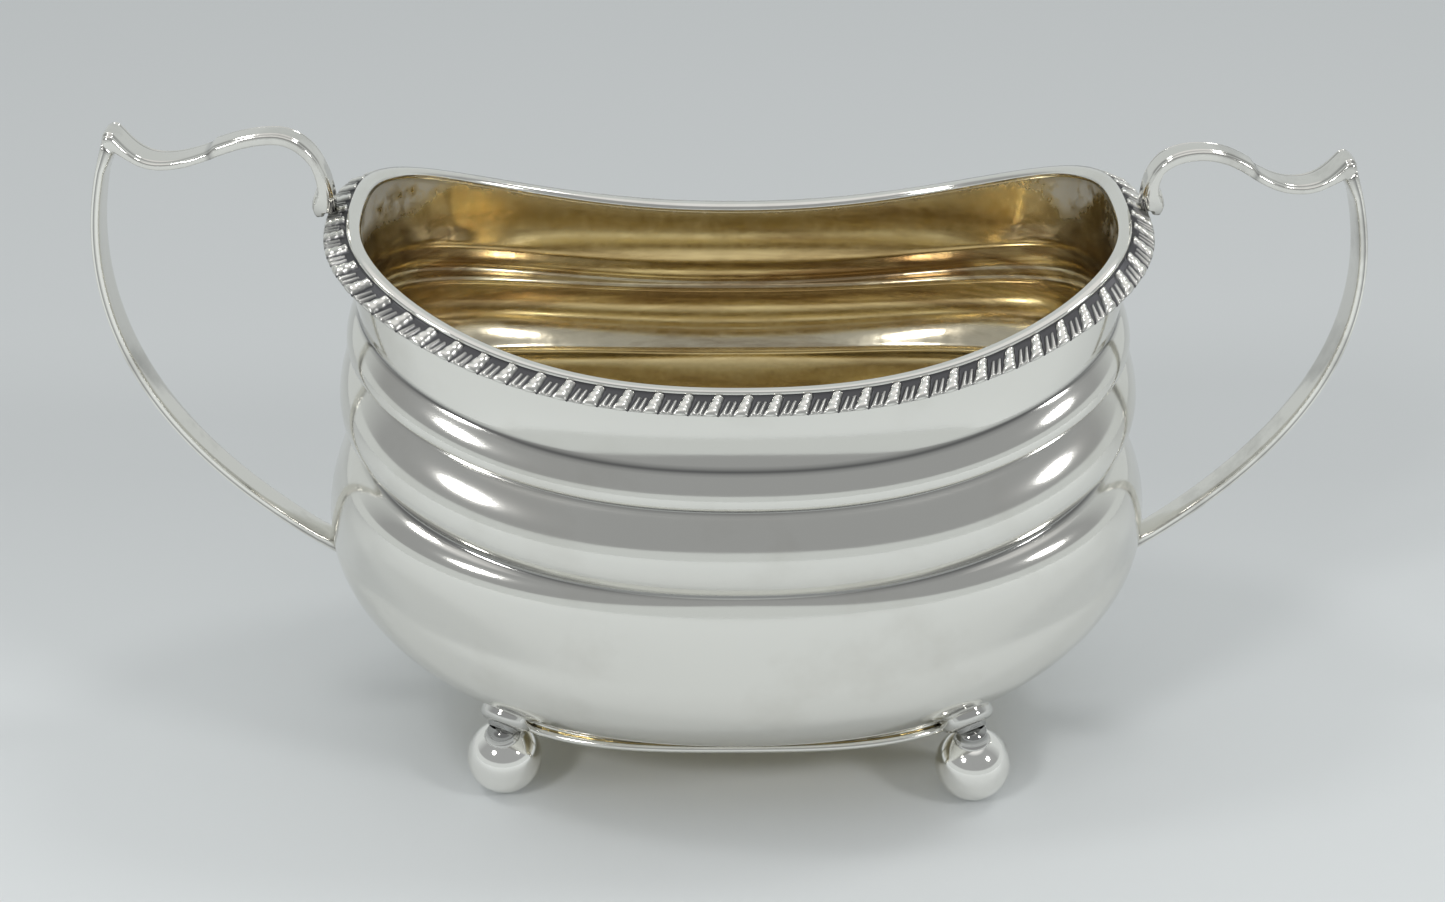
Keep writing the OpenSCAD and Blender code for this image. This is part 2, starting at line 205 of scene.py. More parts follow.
class BorderShape(bpy.types.PropertyGroup):
    """Shape of the plain lip and of the gadroon border."""
    lip_width: length("Lip width", "Width of the plain lip", 0.0021)
    lip_depth: length("Lip depth", "Height of the lip band", 0.0014)
    lip_round: length("Lip rounding", "Rounding of the inner edge of the lip", 0.0011)
    width: length("Border width", "Width of the gadroon border", 0.0036)
    depth: length("Border depth", "Depth of the border where it meets the body", 0.0024)
    drop: length("Border drop", "How far the border falls to its outer edge", 0.0016)
    recess: length("Recess", "Depth of the dark hollow beside the lobes", 0.0008)
    units: count("Units", "Number of lobes round the border", 76)
    lean: number("Lean", "Lean of the lobes in unit widths", 0.36)
    columns: count("Columns", "Mesh columns of one unit", 32)
    rows: count("Rows", "Mesh rows over the top of one unit", 24)


class HandleShape(bpy.types.PropertyGroup):
    """Shape of the two handles."""
    span: length("Span", "Length of the bowl over both handles", 0.1974)
    ear_height: length("Ear height", "Height of the pointed ear", 0.1044)
    left_lift: length("Left lift", "Lift of the left ear, as set by hand", 0.0024)
    right_lift: length("Right lift", "Lift of the right ear", -0.0024)
    reach_share: number("Reach share", "How far a lifted ear also stands out", 0.38)
    strap_thick: length("Strap thickness", "Thickness of the outer strap", 0.0017)
    arm_thick: length("Arm thickness", "Thickness of the upper arm", 0.0014)
    ear_width: length("Ear width", "Width of the strap at the ear", 0.0066)
    waist: length("Waist", "Width of the arm at its arch", 0.0044)
    root_width: length("Root width", "Width of the arm at the border", 0.005)
    end_width: length("End width", "Width of the strap at the belly", 0.005)
    step: length("Step", "Small step on the top of the arm", 0.0005)


class FootShape(bpy.types.PropertyGroup):
    """Shape of the ball feet, their collars and the base wire."""
    ball: length("Ball", "Diameter of the ball feet", 0.0122)
    along: length("Along", "Distance to the ball centres along the bowl", 0.0382)
    across: length("Across", "Distance to the ball centres across the bowl", 0.0258)
    push: length("Push", "How far the front left foot is pushed in", 0.0026)
    flat: length("Worn flat", "Diameter of the worn flat under each ball", 0.0026)
    collar: length("Collar", "Diameter of the rounded collar", 0.0088)
    collar_depth: length("Collar depth", "Height of the rounded collar", 0.0032)
    collar_edge: length("Collar edge", "Height of the collar's straight edge", 0.0012)
    collar_dome: length("Collar dome", "Height of the rounding on the collar", 0.0013)
    neck: length("Neck", "Diameter of the neck between ball and collar", 0.0044)
    seat_share: number("Seat share", "Place of the collars up the lower belly", 0.15)
    seat_angle: turn("Seat angle", "Place of the collars round the body", 45.5)
    pushed_share: number("Pushed share", "Place of the front left collar up the lower belly", 0.1)
    pushed_angle: turn("Pushed angle", "Place of the front left collar round the body", 42.5)
    tip: turn("Collar tip", "Lean of the collar from straight down", 46)
    facing: turn("Collar facing", "Direction that the collar faces in plan", 59)
    wire: length("Wire", "Thickness of the base wire", 0.0011)


class SilverLook(bpy.types.PropertyGroup):
    """Colours of the metal."""
    silver: colour("Silver", "Colour of clean silver", (0.81, 0.8, 0.755))
    dull: colour("Dull silver", "Colour of slightly tarnished silver", (0.73, 0.715, 0.665))
    # painted light: a brighter copy of the silver for the feet, which lightens the balls
    feet: colour("Feet silver", "Brighter silver of the feet", (0.92, 0.91, 0.87))
    handle: colour("Handle silver", "Rubbed silver on the edges of the handles", (0.95, 0.935, 0.88))
    handle_dull: colour("Dull handle silver", "Dull clouds on the handles", (0.5, 0.485, 0.45))
    # dark: real tarnish, and painted shade in the body's grooves, the handles' fine hollows, the
    # collars, the necks of the feet and the border's hollows
    dark: colour("Dark tarnish", "Tarnish in hollows, grooves and necks", (0.1, 0.1, 0.105))
    gilt: colour("Gilding", "Colour of the gilding inside", (0.84, 0.74, 0.48))
    worn: colour("Worn gilding", "Paler gilding where it is rubbed", (0.9, 0.86, 0.76))
    # brown: stains in streaks, and painted shade in the band round the upper inner ridge
    brown: colour("Brown tarnish", "Brown stains on the gilding", (0.3, 0.19, 0.09))


class StageLook(bpy.types.PropertyGroup):
    """Floor, room and lamps."""
    floor: colour("Floor", "Colour of the pale floor", (0.77, 0.795, 0.8))
    # painted shade: the floor is coloured darker behind the bowl, where less lamp light falls
    floor_shade_behind: colour("Floor behind", "Colour of the floor behind the bowl", (0.63, 0.65, 0.655))
    floor_radius: length("Floor radius", "Radius of the round floor", 0.65)
    low: colour("Room low down", "Light of the room near the floor", (0.63, 0.66, 0.66))
    room: colour("Room", "Light of the room above", (0.35, 0.36, 0.365))
    zenith: colour("Room overhead", "Light of the room overhead", (0.85, 0.85, 0.85))
    main_power: number("Main power", "Power of each large lamp, in watts", 1.5)
    top_power: number("Top power", "Power of each lamp overhead, in watts", 1.0)


def mix(a, b, t):
    return a * (1 - t) + b * t


def clamp(x):
    return min(1.0, max(0.0, x))


def dome(x):
    return math.sqrt(max(0.0, 1 - x * x))


def bell(x, centre, spread):
    return math.exp(-((x - centre) / spread) ** 2)


def round_angles(steps):
    return [2 * math.pi * k / steps for k in range(steps)]


def settings(*names):
    """Property groups of the scene, by the ends of their names."""
    return [getattr(bpy.context.scene, "bowl_" + name) for name in names]


def named_level(s, name, corner="", grow=0.0, drop=0.0):
    """A level of the body: half length, half width, height and corner share."""
    size_x, size_y, z = (getattr(s, name + part) for part in ("_length", "_width", "_height"))
    share = getattr(s, (corner or name) + "_corner")
    return np.array((size_x / 2 + grow, size_y / 2 + grow, z - drop, share))


def rise_share(s, z):
    """Height as a share of the way from the base edge to the lip."""
    return (z - s.base_height) / (s.mouth_height - s.base_height)


def level_point(s, level, angle):
    """A point of a level, which climbs towards the handles."""
    square = 1 + level[3] * math.sin(2 * angle) ** 2
    along = math.cos(angle) * square
    climb = s.mouth_rise * max(0.0, rise_share(s, level[2])) ** s.climb_share
    return Vector((level[0] * along, level[1] * math.sin(angle) * square,
        level[2] + climb * abs(along) ** s.climb_power))


def even_angles(s, steps):
    """Angles that divide the mouth into equal lengths."""
    mouth = named_level(s, "mouth")
    fine = np.linspace(0, 2 * math.pi, AROUND_STEPS + 1)
    around = [level_point(s, mouth, a) for a in fine]
    run = np.concatenate([[0], np.cumsum([(b - a).length for a, b in zip(around, around[1:])])])
    at = np.linspace(0, run[-1], steps, endpoint=False)
    return [float(a) for a in np.interp(at, run, fine)]


def arc_level(slim, full, turn_by, ease, t):
    """A level of an arc that starts slim and ends upright at its fullest."""
    out = (math.cos(turn_by * (1 - t)) - math.cos(turn_by)) / (1 - math.cos(turn_by))
    up = 1 - math.sin(turn_by * (1 - t)) / math.sin(turn_by)
    return np.array((mix(slim[0], full[0], out), mix(slim[1], full[1], out), mix(slim[2], full[2], up),
        mix(slim[3], full[3], t ** ease)))


def lower_level(s, t):
    """A level of the lower belly, from the base edge at 0 to the fullest part at 1."""
    return arc_level(named_level(s, "base"), named_level(s, "belly"), s.belly_turn, BELLY_EASE, t)


def even_swell(t):
    return 4 * t * (1 - t)


def early_swell(t):
    """A swell that is fullest a third of the way up."""
    return 2.6 * math.sqrt(t) * (1 - t)


def late_swell(t):
    """A swell that is fullest three fifths of the way up."""
    return 5.4 * t ** 1.5 * (1 - t)


def outer_levels(s, top):
    """Levels of the outside from the base edge to the lip, before their creases are rounded."""
    belly, crease = named_level(s, "belly"), named_level(s, "crease")
    lower_groove = named_level(s, "lower_groove", "groove")
    upper_groove = named_level(s, "upper_groove", "groove")
    shoulder = np.array((0, 0, 0, s.shoulder_corner))
    lower_rib = np.array((s.lower_swell, s.lower_swell, 0, s.rib_corner))
    upper_rib = np.array((s.upper_swell, s.upper_swell, 0, s.rib_corner))
    steps = [i / PROFILE_STEPS for i in range(PROFILE_STEPS)]
    found = [lower_level(s, t) for t in steps]
    found += [arc_level(lower_groove, belly, s.shoulder_turn, SHOULDER_EASE, 1 - t)
        + late_swell(t) * shoulder for t in steps]
    found += [mix(lower_groove, upper_groove, t) + even_swell(t) * lower_rib for t in steps]
    found += [mix(upper_groove, crease, t) + early_swell(t) * upper_rib for t in steps]
    for t in steps:
        level = mix(crease, top, 1 - (1 - t) ** s.neck_flare)
        level[2] = mix(crease[2], top[2], t)
        found.append(level)
    return np.array(found + [top])


def round_levels(levels, rounding):
    """The same levels at even steps, with their creases rounded."""
    run = np.hypot(np.diff(levels[:, :2].mean(1)), np.diff(levels[:, 2]))
    run = np.concatenate([[0], np.cumsum(run)])
    at = np.linspace(0, run[-1], int(run[-1] / LEVEL_STEP) + 1)
    even = np.stack([np.interp(at, run, levels[:, k]) for k in range(4)], 1)
    for _ in range(round((rounding / LEVEL_STEP) ** 2 * 2)):
        even[1:-1] = (even[:-2] + 2 * even[1:-1] + even[2:]) / 4
    return even


def inner_levels(levels, wall):
    """Levels of the inside, a wall's thickness in from those of the outside."""
    d = np.gradient(levels, axis=0)
    out, up = d[:, 2], -d[:, :2].mean(1)
    size = np.hypot(out, up)
    shift = np.stack([out / size, out / size, up / size, 0 * out], 1)
    shift[0] = shift[-1] = (1, 1, 0, 0)
    return levels - wall * shift


def inner_point(s, level, angle):
    """A point of the inside, which has an upright crease in each corner of the neck."""
    fold = abs((angle + math.pi / 2) % math.pi - math.pi / 2)
    high = clamp((level[2] - s.crease_height) / CREASE_START)
    out = s.inner_crease * high * math.exp(-abs(fold - CORNER_ANGLE) / CREASE_SPREAD)
    return level_point(s, level + np.array((out, out, 0, 0)), angle)


def add_object(name, data):
    made = bpy.data.objects.new(name, data)
    bpy.context.scene.collection.objects.link(made)
    return made


def new_object(name, points, faces, edges=()):
    mesh = bpy.data.meshes.new(name)
    mesh.from_pydata([tuple(p) for p in points], list(edges), faces)
    mesh.update()
    return add_object(name, mesh)


def face_outward(made):
    """Turns all faces outward and smooths them."""
    work = bmesh.new()
    work.from_mesh(made.data)
    bmesh.ops.recalc_face_normals(work, faces=work.faces)
    if work.calc_volume(signed=True) < 0:
        bmesh.ops.reverse_faces(work, faces=work.faces)
    work.to_mesh(made.data)
    work.free()
    made.data.polygons.foreach_set("use_smooth", [True] * len(made.data.polygons))
    made.data.update()


def grid_faces(rows, columns, close_rows=False):
    """Quads over closed rows of points."""
    last_row = rows if close_rows else rows - 1
    return [(i * columns + j, i * columns + (j + 1) % columns,
        (i + 1) % rows * columns + (j + 1) % columns, (i + 1) % rows * columns + j)
        for i in range(last_row) for j in range(columns)]


def capped_faces(rows, columns, first=0):
    """Quads over closed rows of points, with both ends closed."""
    faces = [tuple(first + i for i in face) for face in grid_faces(rows, columns)]
    faces.append(tuple(first + k for k in range(columns))[::-1])
    faces.append(tuple(first + (rows - 1) * columns + k for k in range(columns)))
    return faces


def ring_object(name, sections):
    """A closed ring of equal closed sections."""
    made = new_object(name, [p for one in sections for p in one],
        grid_faces(len(sections), len(sections[0]), close_rows=True))
    face_outward(made)
    return made


def mark(made, name, values):
    """Stores one number for each point, for the materials."""
    data = made.data.attributes.new(name, "FLOAT", "POINT").data
    data.foreach_set("value", [float(v) for v in values])


def hand_in(made, slot, *nodes):
    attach(made, "root")
    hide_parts(*nodes)


class Nodes:
    """Short way to add nodes to a tree. An input is given as a value or as an output socket."""

    def __init__(self, tree):
        self.tree = tree
        tree.nodes.clear()

    def put(self, socket, value):
        if isinstance(value, bpy.types.NodeSocket):
            self.tree.links.new(value, socket)
        else:
            socket.default_value = value

    def add(self, kind, inputs=(), **choices):
        node = self.tree.nodes.new(kind)
        for key, value in choices.items():
            setattr(node, key, value)
        for key, value in dict(inputs).items():
            self.put(node.inputs[key], value)
        return node

    def out(self, kind, output, inputs=(), **choices):
        """Adds a node and gives one of its outputs."""
        return self.add(kind, inputs, **choices).outputs[output]

    def place(self, output="Object"):
        return self.out("ShaderNodeTexCoord", output)

    def attribute(self, name):
        return self.out("ShaderNodeAttribute", "Fac", attribute_name=name)

    def parts(self, vector):
        return self.add("ShaderNodeSeparateXYZ", {"Vector": vector}).outputs

    def math(self, operation, *values):
        return self.out("ShaderNodeMath", "Value", enumerate(values), operation=operation)

    def vector(self, operation, inputs):
        return self.out("ShaderNodeVectorMath", "Vector", inputs, operation=operation)

    def spread(self, value, low, high, to_low=0.0, to_high=1.0):
        """Carries a value from one range to another and keeps it inside."""
        return self.out("ShaderNodeMapRange", "Result", {"Value": value, "From Min": low,
            "From Max": high, "To Min": to_low, "To Max": to_high})

    def noise(self, place, scale, detail, rough):
        return self.out("ShaderNodeTexNoise", "Fac", {"Vector": place, "Scale": scale,
            "Detail": detail, "Roughness": rough})

    def stretch(self, place, scale, turned=(0.0, 0.0, 0.0)):
        return self.out("ShaderNodeMapping", "Vector", {"Vector": place, "Scale": scale,
            "Rotation": turned})

    def bump(self, height, strength, distance):
        return self.out("ShaderNodeBump", "Normal", {"Height": height, "Strength": strength,
            "Distance": distance})

    def ramp(self, value, stops):
        """Grey levels at given places from 0 to 1."""
        node = self.add("ShaderNodeValToRGB", {"Fac": value})
        points = node.color_ramp.elements
        for k, (at, level) in enumerate(stops):
            one = points[0] if k == 0 else points.new(at)
            one.position, one.color = at, (level, level, level, 1)
        points.remove(points[-1])
        return node.outputs["Color"]

    def blend(self, factor, first, second):
        """Mixes two colours. The colour sockets share their names with others, so they go by type."""
        node = self.add("ShaderNodeMix", {"Factor": factor}, data_type="RGBA")
        sockets = [socket for socket in node.inputs if socket.type == "RGBA"]
        for socket, value in zip(sockets, (first, second)):
            self.put(socket, value if isinstance(value, bpy.types.NodeSocket) else (*value, 1.0))
        return [socket for socket in node.outputs if socket.type == "RGBA"][0]


def new_material(name):
    material = bpy.data.materials.new(name)
    material.use_nodes = True
    return material, Nodes(material.node_tree)


def finish_surface(g, inputs):
    skin = g.add("ShaderNodeBsdfPrincipled", inputs)
    g.add("ShaderNodeOutputMaterial", {"Surface": skin.outputs["BSDF"]})


def metal(name, clean, dull, rough, vary, scratch):
    """Polished metal with faint dull clouds, fine scratches, and tarnish and painted shade where its
    points are marked.
    """
    # the dark colour stands for tarnish and for painted shade, mixed in by the marked share
    darkening = bpy.context.scene.bowl_look.dark
    material, g = new_material(name)
    place = g.place()
    clouds = g.noise(place, 55.0, 5.0, 0.6)
    scratches = g.noise(g.stretch(place, (260.0, 1400.0, 2200.0), (0.2, 0.1, 0.3)), 1.0, 3.0, 0.7)
    tone = g.blend(g.spread(clouds, 0.52, 0.78), clean, dull)
    finish_surface(g, {"Metallic": 1.0,
        "Base Color": g.blend(g.attribute("tarnish_and_shade"), tone, darkening),
        "Roughness": g.spread(clouds, 0.3, 0.75, rough, rough + vary),
        "Normal": g.bump(scratches, scratch, 0.00006)})
    return material


def gilding(name):
    """Worn gilding: pale on the ridges, brown stains and painted shade in the hollows, rubbed to silver
    at the rim's ends.
    """
    look = bpy.context.scene.bowl_look
    material, g = new_material(name)
    place, rise = g.place(), g.attribute("rise")
    streaks = g.noise(g.stretch(place, (26.0, 26.0, 190.0)), 1.0, 7.0, 0.65)
    spots = g.noise(place, 300.0, 4.0, 0.65)
    patches = g.noise(place, 130.0, 5.0, 0.7)
    near_end = g.spread(g.attribute("end"), 0.7, 0.84)
    near_rim = g.spread(g.math("MULTIPLY_ADD", near_end, 0.09, rise), 0.96, 1.0)
    bare = g.math("MULTIPLY", near_rim, g.spread(patches, 0.36, 0.52))
    # painted shade and brown stains in a band either side of the upper inner ridge, broken up by streaks
    brown_stain_and_shade = g.math("MULTIPLY", g.ramp(rise, BROWN_STAIN_AND_SHADE), g.spread(streaks, 0.38, 0.56))
    tone = g.blend(g.ramp(rise, RUBBED), look.gilt, look.worn)
    tone = g.blend(g.spread(streaks, 0.52, 0.72, 0.0, 0.65), tone, look.brown)
    tone = g.blend(brown_stain_and_shade, tone, look.brown)
    gloss = g.spread(spots, 0.3, 0.75, 0.12, 0.27)
    finish_surface(g, {"Metallic": 1.0,
        "Base Color": g.blend(bare, tone, look.silver),
        "Roughness": g.math("MULTIPLY_ADD", bare, 0.35, gloss),
        "Normal": g.bump(spots, 0.25, 0.0001)})
    return material


def border_metal(name):
    """Bright lobes over dark hollows: tarnish in the hollows, and painted shade that darkens the lower
    slopes by height.
    """
    look = bpy.context.scene.bowl_look
    material, g = new_material(name)
    grain = g.noise(g.place(), 900.0, 3.0, 0.6)
    # painted shade with tarnish: colour runs from dark in the hollows and low slopes to bright silver on
    # the crowns
    clear = g.spread(g.math("MULTIPLY_ADD", grain, 0.06, g.attribute("lobe")), 0.22, 0.9)
    finish_surface(g, {"Metallic": 1.0,
        "Base Color": g.blend(clear, look.dark, look.silver),
        "Roughness": g.spread(clear, 0.0, 1.0, 0.42, 0.2)})
    return material


def new_tree(name, inputs):
    """An empty tree of geometry nodes with named inputs."""
    tree = bpy.data.node_groups.new(name, "GeometryNodeTree")
    for socket, kind in inputs.items():
        tree.interface.new_socket(socket, in_out="INPUT", socket_type="NodeSocket" + kind)
    tree.interface.new_socket("Geometry", in_out="OUTPUT", socket_type="NodeSocketGeometry")
    return tree, Nodes(tree)


def finish_tree(g, mesh, material):
    """Ends a tree with a smooth, realized mesh of one material."""
    smooth = g.out("GeometryNodeSetShadeSmooth", "Geometry", {"Geometry": mesh})
    real = g.out("GeometryNodeRealizeInstances", "Geometry", {"Geometry": smooth})
    painted = g.out("GeometryNodeSetMaterial", "Geometry", {"Geometry": real, "Material": material})
    g.add("NodeGroupOutput", {"Geometry": painted})


def border_tree():
    """Repeats a straight unit along X and bends the row round a closed path."""
    tree, g = new_tree("repeat_round_path", {"Path": "Geometry", "Unit": "Object", "Count": "Int",
        "Pitch": "Float", "Material": "Material"})
    given = g.add("NodeGroupInput").outputs
    curve = g.out("GeometryNodeMeshToCurve", "Curve", {"Mesh": given["Path"]})
    unit = g.out("GeometryNodeObjectInfo", "Geometry", {"Object": given["Unit"]})
    step = g.out("ShaderNodeCombineXYZ", "Vector", {"X": given["Pitch"]})
    row = g.out("GeometryNodeMeshLine", "Mesh", {"Count": given["Count"], "Offset": step})
    repeat = g.out("GeometryNodeInstanceOnPoints", "Instances", {"Points": row, "Instance": unit})
    real = g.out("GeometryNodeRealizeInstances", "Geometry", {"Geometry": repeat})
    parts = g.parts(g.out("GeometryNodeInputPosition", "Position"))
    share = g.math("DIVIDE", parts["X"], g.math("MULTIPLY", given["Count"], given["Pitch"]))
    sample = g.add("GeometryNodeSampleCurve", {"Curves": curve, "Factor": share},
        mode="FACTOR", use_all_curves=True).outputs
    outward = g.vector("CROSS_PRODUCT", {0: sample["Tangent"], 1: (0, 0, 1)})
    reach = g.vector("SCALE", {0: g.vector("NORMALIZE", {0: outward}), "Scale": parts["Y"]})
    lift = g.out("ShaderNodeCombineXYZ", "Vector", {"Z": parts["Z"]})
    bent = g.vector("ADD", {0: g.vector("ADD", {0: sample["Position"], 1: reach}), 1: lift})
    bend = g.out("GeometryNodeSetPosition", "Geometry", {"Geometry": real, "Position": bent})
    weld = g.out("GeometryNodeMergeByDistance", "Geometry", {"Geometry": bend, "Distance": WELD})
    finish_tree(g, weld, given["Material"])
    return tree


def wire_tree():
    """Sweeps a round wire along a closed path."""
    tree, g = new_tree("wire_on_path", {"Path": "Geometry", "Radius": "Float", "Material": "Material"})
    given = g.add("NodeGroupInput").outputs
    curve = g.out("GeometryNodeMeshToCurve", "Curve", {"Mesh": given["Path"]})
    section = g.out("GeometryNodeCurvePrimitiveCircle", "Curve",
        {"Resolution": WIRE_POINTS, "Radius": given["Radius"]})
    sweep = g.out("GeometryNodeCurveToMesh", "Mesh", {"Curve": curve, "Profile Curve": section})
    finish_tree(g, sweep, given["Material"])
    return tree


def follow_path(name, points, tree, values):
    """Runs a tree on a closed path and gives the result as a plain mesh object."""
    last = len(points)
    path = new_object("path", points, [], [(i, (i + 1) % last) for i in range(last)])
    modifier = path.modifiers.new("follow", "NODES")
    modifier.node_group = tree
    for item in tree.interface.items_tree:
        if item.item_type == "SOCKET" and item.in_out == "INPUT" and item.name in values:
            modifier[item.identifier] = values[item.name]
    mesh = bpy.data.meshes.new_from_object(path.evaluated_get(bpy.context.evaluated_depsgraph_get()))
    mesh.name = name
    made = add_object(name, mesh)
    bpy.data.objects.remove(path, do_unlink=True)
    face_outward(made)
    return made


class BOWL_OT_body(bpy.types.Operator):
    """Builds the body: silver outside, gilt inside"""
    bl_idname = "bowl.body"
    bl_label = "Body"

    def execute(self, context):
        s, border, look = settings("shape", "border", "look")
        top = named_level(s, "mouth", drop=border.lip_depth)
        outside = round_levels(outer_levels(s, top), s.crease_round)
        inside = inner_levels(outside, s.wall)[::-1]
        levels = np.concatenate([outside, inside])
        angles = even_angles(s, s.sides)
        made = ring_object("bowl_body", [[level_point(s, level, a) for level in outside]
            + [inner_point(s, level, a) for level in inside] for a in angles])
        mark(made, "rise", [rise_share(s, level[2]) for level in levels] * len(angles))
        mark(made, "end", [abs(math.cos(a)) for a in angles for _ in levels])
        # painted shade: the outside is darkened in both grooves and at the crease under the neck
        grooves = (s.lower_groove_height, s.upper_groove_height, s.crease_height)
        dark = [GROOVE_SHADE * max(bell(level[2], z, s.crease_round) for z in grooves)
            for level in outside]
        mark(made, "tarnish_and_shade", (dark + [0.0] * len(inside)) * len(angles))
        made.data.materials.append(metal("silver_body", look.silver, look.dull,
            rough=0.08, vary=0.07, scratch=0.05))
        made.data.materials.append(gilding("gilt_inside"))
        for face in made.data.polygons:
            if all(v % len(levels) >= len(outside) for v in face.vertices):
                face.material_index = 1
        hand_in(made, "silver", "body_shell")
        return {"FINISHED"}


class BOWL_OT_base(bpy.types.Operator):
    """Gives the flat bottom its worn gilding"""
    bl_idname = "bowl.base"
    bl_label = "Bottom"

    def execute(self, context):
        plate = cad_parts["base_plate"]
        plate.data.materials.clear()
        plate.data.materials.append(gilding("gilt_floor"))
        return {"FINISHED"}


class BOWL_OT_lip(bpy.types.Operator):
    """Builds the plain lip round the mouth"""
    bl_idname = "bowl.lip"
    bl_label = "Lip"

    def execute(self, context):
        s, border, look = settings("shape", "border", "look")
        w, d, r = border.lip_width, border.lip_depth, border.lip_round
        outline = [(0, d), (0, LIP_BEVEL), (LIP_BEVEL, 0)]
        outline += [(w - r + r * math.sin(a), r - r * math.cos(a))
            for a in np.linspace(0, math.pi / 2, LIP_STEPS)]
        outline += [(w, d)]
        levels = [named_level(s, "mouth", grow=-inset, drop=drop) for inset, drop in outline]
        made = ring_object("bowl_lip", [[level_point(s, level, a) for level in levels]
            for a in even_angles(s, s.sides)])
        made.data.materials.append(metal("silver_lip", look.silver, look.dull,
            rough=0.07, vary=0.1, scratch=0.08))
        hand_in(made, "silver", "lip_band")
        return {"FINISHED"}


def near(u, centre):
    """Signed distance from a centre, round the unit."""
    return (u - centre + 0.5) % 1.0 - 0.5


def unit_height(u, v):
    """Height of the border's unit, 0 in the hollow and 1 on the lobe, along u and outward v."""
    beads = abs(math.sin(BEADS * math.pi * min(v, 0.999)))
    half = mix(*LOBE_HALF, v) * (1 - BEAD_WAIST + BEAD_WAIST * beads)
    height = (1 - BEAD_DEPTH + BEAD_DEPTH * beads) * dome(near(u, LOBE_AT) / half)
    height *= clamp((v - LOBE_START) / LOBE_ROUND)
    tip = (v - TONGUE_START) / (1 - TONGUE_START)
    if tip > 0:
        for centre in TONGUES_AT:
            across = near(u, centre) / (TONGUE_HALF + TONGUE_SPREAD * tip)
            height = max(height, (TONGUE_HEIGHT + TONGUE_RISE * tip) * dome(across))
    join = max(0.0, (v - JOIN_START) / (1 - JOIN_START))
    return max(height, join * JOIN_HEIGHT * dome(near(u, JOIN_AT) / JOIN_HALF))


def border_unit(border, pitch):
    """One unit of the border, laid out straight: along X, outward Y, up Z, in closed loops."""
    points, heights = [], []
    for i in range(border.columns + 1):
        u = i / border.columns
        loop = [(0.0, -border.depth, 0.0), (0.0, -INNER_STEP, 0.0)]
        for v in np.linspace(0.02, 0.98, border.rows):
            raised = unit_height(u + border.lean * v, v)
            edge = max(0.0, (v - EDGE_START) / (1 - EDGE_START))
            hollow = border.recess * (1 - raised) * (1 - 0.5 * edge)
            loop.append((v * border.width, -border.drop * v - hollow - EDGE_ROUND * edge * edge, raised))
        raised = unit_height(u + border.lean, 0.99)
        loop.append((border.width * (0.9 + 0.1 * raised), -border.drop - EDGE_DEPTH, raised))
        loop.append((border.width * 0.85, -border.depth, 0.0))
        points += [(u * pitch, y, z) for y, z, _ in loop]
        heights += [raised for _, _, raised in loop]
    made = new_object("border_unit", points, grid_faces(border.columns + 1, len(loop)))
    mark(made, "lobe", heights)
    return made


class BOWL_OT_border(bpy.types.Operator):
    """Builds the gadroon border from one unit repeated round the mouth"""
    bl_idname = "bowl.border"
    bl_label = "Border"

    def execute(self, context):
        s, border = settings("shape", "border")
        mouth = named_level(s, "mouth")
        points = [level_point(s, mouth, a) for a in even_angles(s, border.units * PATH_STEPS)]
        pitch = sum((b - a).length for a, b in zip(points, points[1:] + points[:1])) / border.units
        unit = border_unit(border, pitch)
        made = follow_path("gadroon_border_look", points, border_tree(), {"Unit": unit,
            "Count": border.units, "Pitch": pitch, "Material": border_metal("silver_border")})
        bpy.data.objects.remove(unit, do_unlink=True)
        hand_in(made, "border_silver", "gadroon_border")
        return {"FINISHED"}


def bezier(p, steps):
    t = np.linspace(0, 1, steps + 1)[:, None]
    a, b, c, d = [np.array(q) for q in p]
    return (1 - t) ** 3 * a + 3 * t * (1 - t) ** 2 * b + 3 * t * t * (1 - t) * c + t ** 3 * d


def beside(line, shift):
    """The same line moved to its left by a distance."""
    d = np.gradient(line, axis=0)
    d /= np.linalg.norm(d, axis=1)[:, None]
    return line + shift * np.stack([-d[:, 1], d[:, 0]], 1)


def section_place(k):
    """Place of a point on a section with rounded edges: across and up, each from -1 to 1."""
    a = 2 * math.pi * (k + 0.5) / SECTION_POINTS
    return [math.copysign(math.sqrt(abs(x)), x) for x in (math.cos(a), math.sin(a))]


def hollow_share(across, up):
    """Depth of the fine hollow along both edges of a handle's outer face, from 0 to 1."""
    return bell(abs(across), HOLLOW_AT, HOLLOW_SPREAD) if up > 0 else 0.0


def handle_section(upper, lower, width, side):
    """A flat section between an upper and a lower point."""
    middle, half = (upper + lower) / 2, (upper - lower) / 2
    points = []
    for k in range(SECTION_POINTS):
        across, up = section_place(k)
        p = middle + half * (up - HOLLOW_DEPTH * hollow_share(across, up))
        points.append((side * p[0], across * width / 2, p[1]))
    return points


def handle_object(name, sections, darkening, spots):
    """A closed solid through equal sections, with the darkening of its section, tarnish and painted
    shade, and spots along it.
    """
    made = new_object(name, [p for one in sections for p in one],
        capped_faces(len(sections), SECTION_POINTS))
    face_outward(made)
    mark(made, "tarnish_and_shade", [max(darkening(k), spot) for spot in spots for k in range(SECTION_POINTS)])
    return made


# thin tarnish over the arm, with painted shade in its fine hollow
def arm_darkening(k):
    return max(ARM_TARNISH, HOLLOW_SHADE * hollow_share(*section_place(k)))


